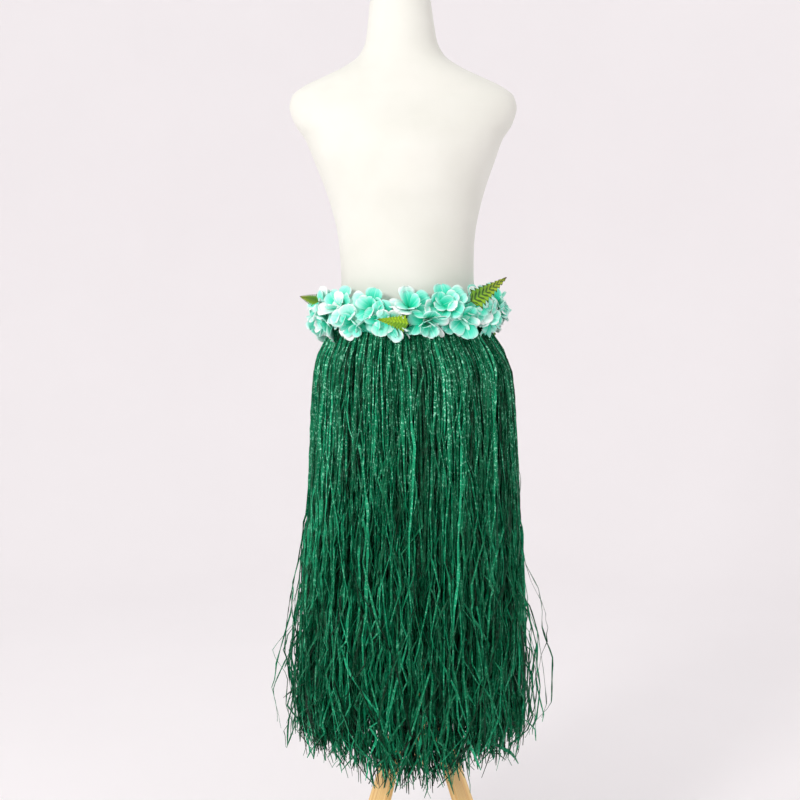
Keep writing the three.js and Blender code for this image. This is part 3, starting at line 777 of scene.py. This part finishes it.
def placed_strays(rng, t):
    """The paths in the table of strays, kinked a little sideways and outwards below."""
    headings = np.radians([stray["heading"] for stray in STRAYS])
    outward = level(headings)[:, None]
    paths = []
    for stray, heading, way in zip(STRAYS, headings, outward):
        z = ROOT_Z + (stray["z"][-1] - ROOT_Z) * t
        beyond = np.interp(-z, -np.array([ROOT_Z, *stray["z"]]), [0, *stray["beyond"]])
        paths.append(on_fall(heading, z, 0.0) + beyond[:, None] * way)
    paths = np.array(paths)
    drop = np.diff(-paths[..., 2], axis=1, prepend=-paths[:, :1, 2])
    strength = np.broadcast_to(np.interp(t, [0.5, 0.7], [0.03, 0.22]), drop.shape)
    paths = paths + kinked(rng, strength, 0.5, drop, 6)[..., None] * np.cross(UP, outward)
    return paths + kinked(rng, strength, 0.5, drop, 9)[..., None] * outward


def stray_strands():
    """Loose strands: the listed ones, then many that spring out and fall back by chance, as
    a swell of random reach along the lower part of their fall. A third of these, and the ones
    that reach furthest, hang at the two sides."""
    rng = np.random.default_rng(41)
    stations = 56
    t = np.linspace(0, 1, stations)
    placed = placed_strays(rng, t)
    count = 160
    sideways = rng.random(count) < 0.33
    at_sides = math.pi * rng.integers(0, 2, count) + rng.normal(0, 0.28, count)
    headings = np.where(sideways, at_sides, TURN * rng.random(count))
    start = rng.uniform(0.50, 0.82, count)
    reach = rng.gamma(2.2, 0.006, count) * np.where(sideways, 1.6, 1)
    reach = np.minimum(reach, 0.016 + 0.034 * np.cos(headings) ** 2)
    depth = rng.uniform(0, 0.15, count)
    lively = np.full((count, 1), 1.7)
    free = strand_paths(rng, headings, depth, hem_heights(rng, headings), stations, lively)
    share = np.clip((t - start[:, None]) / (1 - start[:, None]), 0, 1)
    swell = np.sin(math.pi * share ** 0.8 * rng.uniform(0.45, 0.9, (count, 1)))
    free = free + (reach[:, None] * swell)[..., None] * level(headings)[:, None]
    paths = inside_fall(np.concatenate([placed, free]), *STRAY_ROOM)
    total = len(paths)
    width = rng.uniform(*STRAY_WIDTH, total)
    return strands("raffia_strays", rng, paths, width, rng.uniform(0.1, 0.7, total), RAFFIA_OUTER)


waistband = ribbon_hoop("elastic_waistband", BAND_GAP, BAND_WALL, BAND_BOTTOM, BAND_TOP, WEBBING)
place(waistband, "band_cloth", "waistband")
under_strip = ribbon_hoop("under_strip", UNDER_STRIP, STRIP_WALL - 0.001, STRIP_BOTTOM, STRIP_TOP, CORD)
place(under_strip, "raffia_under")
outer_strip = ribbon_hoop(
    "knotted_strip", OUTER_STRIP, STRIP_WALL - 0.002, STRIP_BOTTOM, STRIP_TOP, CORD, relief=0.002, knots=180
)
place(outer_strip, "raffia_outer")
inner_raffia = raffia_sector("raffia_inner", 3, 1150, 0, 1, (0.45, 1.0), 22, RAFFIA_SHADED_UNDER, (0.1, 0.8))
place(inner_raffia, "raffia_under", "raffia_under")
front_raffia = raffia_sector("raffia_front", 5, 600, -0.25, 0.25, (0.0, 0.5), 54, RAFFIA_OUTER, (0, 1))
place(front_raffia, "raffia_outer", "raffia_outer")
back_raffia = raffia_sector("raffia_back", 7, 600, 0.25, 0.75, (0.0, 0.5), 54, RAFFIA_OUTER, (0, 1))
place(back_raffia, "raffia_outer", "raffia_outer")
strays = stray_strands()
place(strays, "raffia_outer", "raffia_outer")

# ---------- garland


def garland_waist():
    """Half the core's width and depth: the form's at that height, and the core's distance."""
    return [on_table(FORM, column, GARLAND_Z) + CORE_OFFSET for column in ("half_width", "half_depth")]


def belt_headings(shares):
    """Headings at shares of the garland's length, counted from the front."""
    return even_headings(shares, *garland_waist())


def belt_frame(heading):
    """A spot on the garland's core and the directions out of the belt and along it."""
    half_width, half_depth = garland_waist()
    out = unit(np.array([half_depth * math.cos(heading), half_width * math.sin(heading), 0.0]))
    origin = around_form(heading, GARLAND_Z, CORE_OFFSET)
    return origin, out, np.cross(UP, out)


def twisted_core():
    """The garland's cord: a ring whose round section swells three times and turns with the
    heading, as three twisted plies do."""
    around, sides = 720, 18
    heading = circle(around)[:, None]
    angle = circle(sides)
    radius = CORE_RADIUS * (0.90 + 0.10 * np.cos(3 * angle + 60 * heading))
    points = around_form(heading, GARLAND_Z, CORE_OFFSET + radius * np.cos(angle))
    points[..., 2] += radius * np.sin(angle)
    return make_piece("twisted_core", points, [grid_faces(around, sides, True, True)], CORD)


def petal_grid(rng, length, width, steep, spread):
    """One petal before it is placed, as (radius, side, height) on a 13 by 9 grid. Its line leaves
    the heart at the angle `steep` and eases to `spread` at the tip. Its width grows with a power
    of the way along and closes in a round tip with a slight notch. It rolls to one side so that
    each petal laps over the next; its edges rise in a cup, its middle is creased, its rim ruffled."""
    s = np.linspace(0, 0.985, 13)[:, None]
    c = np.linspace(-1, 1, 9)[None, :]
    angle = steep + (spread - steep) * s[:, 0] ** 0.6
    step = length / (len(s) - 1)
    radius = 0.0015 + np.concatenate([[0], np.cumsum(np.cos(angle[1:]) * step)])
    height = np.concatenate([[0], np.cumsum(np.sin(angle[1:]) * step)])
    half = width / 2 * (0.10 + 1.16 * s**0.62) * np.sqrt(1 - s**5)
    cup, roll = rng.uniform(0.05, 0.42), rng.uniform(0.10, 0.30)
    lift = half * (cup * c**2 + roll * c) - 0.0014 * np.exp(-((c / 0.16) ** 2)) * s
    phase = rng.uniform(0, TURN, 2)
    lift = lift + 0.0020 * s**2 * np.abs(c) * np.sin(5 * c + phase[0])
    lift = lift + 0.0014 * s**3 * np.sin(8 * c + phase[1])
    lean = np.sin(angle)[:, None]
    r = radius[:, None] - lift * lean * 0.6 - 0.0012 * s**4 * np.exp(-((c / 0.2) ** 2))
    return np.stack([r, half * c, height[:, None] + lift * (1 - 0.4 * lean)], axis=-1)


# The two whorls of a bloom and the one of a filler: petals, size, the angles at which a petal
# leaves the heart and ends, and how far the ends stray.
BLOOM = [
    dict(petals=5, size=1.0, steep=0.72, spread=0.05, stray=0.26),
    dict(petals=4, size=0.76, steep=1.15, spread=0.50, stray=0.34),
]
FILLER = [dict(petals=5, size=0.86, steep=0.8, spread=0.25, stray=0.35)]


def bloom_petals(rng, heading, row, out_step, stray, whorls):
    """Petals and tints of a bloom: whorls placed round the line that the bloom faces along, which
    strays by chance from straight out and up or down."""
    origin, out, along = belt_frame(heading)
    face = math.cos(FLOWER_TILT) * out + row * math.sin(FLOWER_TILT) * UP
    face = unit(face + rng.normal(0, stray, 3))
    side = unit(along - face * (along @ face))
    rise = np.cross(face, side)
    rise_here = row * ROW_RISE[1 if row > 0 else -1] + RIGHT_RISE * max(origin[0], 0)
    heart = origin + out_step * out + rise_here * UP
    turn = rng.uniform(0, TURN)
    grids, tints = [], []
    for layer, whorl in enumerate(whorls):
        for n in range(whorl["petals"]):
            angle = turn + TURN * (n + 0.5 * layer) / whorl["petals"] + rng.normal(0, 0.12)
            size = whorl["size"] * rng.uniform(0.92, 1.06)
            tip = whorl["spread"] + rng.normal(0, whorl["stray"])
            grid = petal_grid(rng, size * PETAL_LENGTH, size * PETAL_WIDTH, whorl["steep"], tip)
            ray = math.cos(angle) * side + math.sin(angle) * rise
            across = -math.sin(angle) * side + math.cos(angle) * rise
            up = (grid[..., 2:] + 0.0015 * layer) * face
            grids.append(heart + grid[..., :1] * ray + grid[..., 1:2] * across + up)
            # painted light: petals on the left of the belt get a paler tint, where the key light falls
            tints.append(min(rng.random() + PAINTED_LIGHT_LEFT * max(-origin[0], 0), 1))
    return grids, tints


def petals_piece(name, grids, tints):
    """Petals in one mesh, thickened to a sheet of stiff silk."""
    points = np.array(grids)
    rows, columns = points.shape[1:3]
    uv = joined(np.linspace(-1, 1, columns), np.linspace(0, 1, rows)[:, None])
    uv = np.broadcast_to(uv, (len(grids), rows, columns, 2))
    tint = np.broadcast_to(np.array(tints)[:, None, None], (len(grids), rows, columns))
    faces = repeated(grid_faces(rows, columns), len(grids), rows * columns)
    return thicken(make_piece(name, points, [faces], PETAL, uv=uv, tint=tint, closed=False), SILK_WALL)


def bloom(name, heading, row, seed):
    """A silk bloom on the belt, out from the core by the usual step and a little by chance."""
    rng = np.random.default_rng(seed)
    out_step = FLOWER_OUT + rng.uniform(-0.002, 0.004)
    return petals_piece(name, *bloom_petals(rng, heading, row, out_step, stray=0.25, whorls=BLOOM))


def filler_blooms():
    """Single whorls tucked between the blooms, along the middle of the belt."""
    rng = np.random.default_rng(77)
    grids, tints = [], []
    count = 2 * FLOWERS_PER_ROW
    for heading in belt_headings((np.arange(count) + 0.5) / count):
        row = rng.choice([-0.9, -0.2, 0.3, 1.0])
        more = bloom_petals(rng, heading, row, out_step=0.009, stray=0.42, whorls=FILLER)
        grids += more[0]
        tints += more[1]
    return petals_piece("filler_blooms", grids, tints)


def calyx(heading, row):
    """A slim green cone from the core to the back of a bloom."""
    origin, out, _ = belt_frame(heading)
    heart = origin + FLOWER_OUT * out + row * ROW_RISE[row] * UP
    way = unit(heart - origin)
    share = np.linspace(0, 1, 6)
    path = origin + way * (CORE_RADIUS + SEAT) + share[:, None] * (heart - origin - way * CORE_RADIUS)
    return tube(path, 0.0012 + 0.0030 * share**2, 8)


# Leaves: the gap between blooms each comes out of, its row, which way along the belt it turns,
# how far it points up or down and outward, its kind, how far some twist on the stalk or start
# higher, and the length and breadth of those that aren't the usual size.
LEAVES = [
    dict(gap=0, row=-1, turn=-1, climb=0.15, outward=0.3, kind="young_fern", lift=0.010, broad=1.35),
    dict(gap=1, row=1, turn=0.64, climb=0.5, outward=0.48, kind="fern", length=0.076, broad=1.9),
    dict(gap=4, row=-1, turn=1, climb=-0.5, outward=0.3, kind="young_fern"),
    dict(gap=5, row=1, turn=-1, climb=0.6, outward=0.3, kind="fern"),
    dict(gap=7, row=-1, turn=-1, climb=-0.2, outward=0.3, kind="young_fern"),
    dict(gap=8, row=1, turn=-1, climb=0.35, outward=0.5, kind="fern"),
    dict(gap=10, row=1, turn=0.41, climb=0.2, outward=0.88, kind="fern", twist=0.8),
    dict(gap=9, row=-1, turn=-1, climb=-0.3, outward=0.3, kind="young_fern"),
]


def leaf(name, spray):
    """A fern blade on a stalk: a triangle with a round base, its edge cut in deep teeth that point
    to the tip, its halves pleated between ribs and swept back towards the stalk at their edges."""
    shift = spray["gap"] + (0.5 if spray["row"] > 0 else 0)
    origin, out, along = belt_frame(belt_headings(shift / FLOWERS_PER_ROW))
    bend = origin + 0.036 * out + (0.024 * spray["row"] + spray.get("lift", 0)) * UP
    way = unit(spray["turn"] * along + spray["climb"] * UP + spray["outward"] * out)
    across = unit(np.cross(way, out))
    normal = np.cross(across, way)
    if normal @ out < 0:
        normal = -normal
    twist = spray.get("twist", 0)
    across, normal = (
        math.cos(twist) * across + math.sin(twist) * normal,
        math.cos(twist) * normal - math.sin(twist) * across,
    )
    length = spray.get("length", LEAF_LENGTH)
    s = np.linspace(0, 1, 97)[:, None]
    c = np.linspace(-1, 1, 13)[None, :]
    tooth = np.mod(RIBS * s, 1)
    half = LEAF_WIDTH / 2 * np.minimum(np.sqrt(s / 0.10 + 0.01), 1.12 * (1.02 - s) ** 0.9)
    half = half * (1 - 0.42 * tooth) * spray.get("broad", 1)
    pleat = 0.0010 * np.sin(TURN * (RIBS * s - np.abs(c))) * np.minimum(1, 3 * np.abs(c))
    sweep = 0.004 * np.abs(c) * (1 - s)
    lift = 0.22 * half * np.abs(c) + pleat - 0.10 * length * s**2 + 0.0005 * np.exp(-((c / 0.08) ** 2))
    spot = bend + (s * length + sweep)[..., None] * way + (half * c)[..., None] * across
    spot = spot + lift[..., None] * normal
    uv = joined(c, s)
    finish = FERN if spray["kind"] == "fern" else YOUNG_FERN
    blade = make_piece(name, spot, [grid_faces(97, 13)], finish, uv=uv, closed=False)
    return thicken(blade, LEAF_WALL), origin, out, bend, way


def stalk_rings(spray, origin, out, bend, way):
    """A thin stalk: a smooth curve from the core through the gap between blooms to the blade."""
    start = origin + 0.0045 * unit(out + spray["row"] * UP)
    t = np.linspace(0, 1, 14)[:, None]
    middle = origin + 0.020 * out + 0.024 * spray["row"] * UP
    path = (1 - t) ** 3 * start + 3 * t * (1 - t) ** 2 * middle
    path = path + 3 * t**2 * (1 - t) * (bend - 0.004 * way) + t**3 * bend
    return tube(path, 0.0009, 8)


def stems(name, ring_sets, material):
    """Several closed tubes in one mesh."""
    points, faces, start = [], [], 0
    for rings in ring_sets:
        rows, columns = rings.shape[:2]
        points.append(rings.reshape(-1, 3))
        faces += [start + part for part in tube_faces(rows, columns)]
        start += rows * columns
    return make_piece(name, np.concatenate(points), faces, material)


# Where seed heads sit: share of the garland's length from the front, height over the core.
SEED_SPOTS = {"share": [0.175, 0.195, 0.62, 0.86], "rise": [0.024, 0.002, 0.010, 0.016]}


def seed_clusters():
    """Little white seed heads between the blooms: balls on grids of 7 by 10, strewn about the
    spots of the table, out from the core."""
    rng = np.random.default_rng(23)
    polar = np.linspace(0.02, math.pi - 0.02, 7)[:, None, None]
    ball = np.sin(polar) * level(circle(10)) + np.cos(polar) * UP
    balls = []
    for share, rise in zip(SEED_SPOTS["share"], SEED_SPOTS["rise"]):
        origin, out, along = belt_frame(belt_headings(share))
        for _ in range(SEEDS_PER_CLUSTER):
            stray = rng.uniform(-1, 1, 3) * [0.004, 0.006, 0.006]
            spot = origin + (SEED_OUT + stray[0]) * out + stray[1] * along + (rise + stray[2]) * UP
            balls.append(spot + rng.uniform(0.0009, 0.0018) * ball)
    rows, columns = ball.shape[:2]
    faces = [repeated(part, len(balls), rows * columns) for part in tube_faces(rows, columns)]
    return make_piece("seed_clusters", balls, faces, SEED)


place(twisted_core(), "cord", "garland_core")
stem_rings = []
for row, label in ((1, "upper"), (-1, "lower")):
    shares = (np.arange(FLOWERS_PER_ROW) + (0 if row > 0 else 0.5)) / FLOWERS_PER_ROW
    for n, heading in enumerate(belt_headings(shares)):
        tag = f"{label}_{n + 1:02d}"
        place(bloom(f"bloom_{tag}", heading, row, 100 + 50 * row + n), "petals", f"flower_{tag}")
        stem_rings.append(calyx(heading, row))
for n, spray in enumerate(LEAVES):
    blade, *stalk = leaf(f"{spray['kind']}_leaf_{n + 1}", spray)
    place(blade, "leaves", f"leaf_{n + 1}")
    stem_rings.append(stalk_rings(spray, *stalk))
place(stems("calyxes_and_stalks", stem_rings, CORD), "leaves")
place(seed_clusters(), "petals")
place(filler_blooms(), "petals")

# ---------- stage, light and camera
CAMERA_DISTANCE = 2.5
CAMERA_HEIGHT = 1.16
CAMERA_X = -0.0202
CAMERA_PITCH = math.radians(4.2)
CAMERA_LENS = 61.2
WALL_REACH = 4.6
WALL_BEND = 1.6
WALL_TOP = 3.2


def studio():
    """A pale floor that curves up into a wall all round: a flat run outwards, a quarter circle
    and an upright, carried round the middle."""
    around = 96
    angle = np.linspace(0, math.pi / 2, 24)
    reach = np.concatenate([[0.01, 1.5], WALL_REACH - WALL_BEND * (1 - np.sin(angle)), [WALL_REACH]])
    z = np.concatenate([[0.0, 0.0], WALL_BEND * (1 - np.cos(angle)), [WALL_TOP]])
    points = reach[:, None, None] * level(circle(around)) + z[:, None, None] * UP
    finish = Finish("studio_paper", 0.9)
    mottle = finish.noise(finish.coordinates("Object"), 2)
    finish.colour(finish.ramp(mottle, [(0, (0.915, 0.89, 0.90)), (1, (0.94, 0.915, 0.925))]))
    faces = [grid_faces(len(z), around, wrap_columns=True)[:, ::-1], np.arange(around)[None, :]]
    make_piece("studio_floor", points, faces, finish.material, closed=False)


def soft_light(name, spot, aim, size, power, colour):
    """A square lamp at a spot, turned towards its aim."""
    lamp = bpy.data.lights.new(name, "AREA")
    lamp.energy, lamp.size, lamp.color = power, size, colour
    holder = linked(name, lamp)
    holder.location = spot
    way = Vector(aim) - holder.location
    holder.rotation_euler = way.to_track_quat("-Z", "Y").to_euler()


def camera():
    """The camera in front of the object, tilted down."""
    lens = bpy.data.cameras.new("camera")
    lens.lens = CAMERA_LENS
    lens.sensor_width = 36
    holder = linked("camera", lens)
    holder.location = (CAMERA_X, -CAMERA_DISTANCE, CAMERA_HEIGHT)
    holder.rotation_euler = (math.pi / 2 - CAMERA_PITCH, 0, 0)
    bpy.context.scene.camera = holder


studio()
soft_light("key_light", (-1.6, -2.6, 2.1), (0, 0, 0.9), size=0.6, power=44, colour=(1.0, 0.99, 0.97))
camera()
world = bpy.data.worlds.new("studio_air")
bpy.context.scene.world = world
world.use_nodes = True
air = world.node_tree.nodes["Background"].inputs
air["Color"].default_value = (1.0, 0.985, 0.99, 1)
air["Strength"].default_value = 0.93
bpy.context.scene.view_settings.view_transform = "Standard"
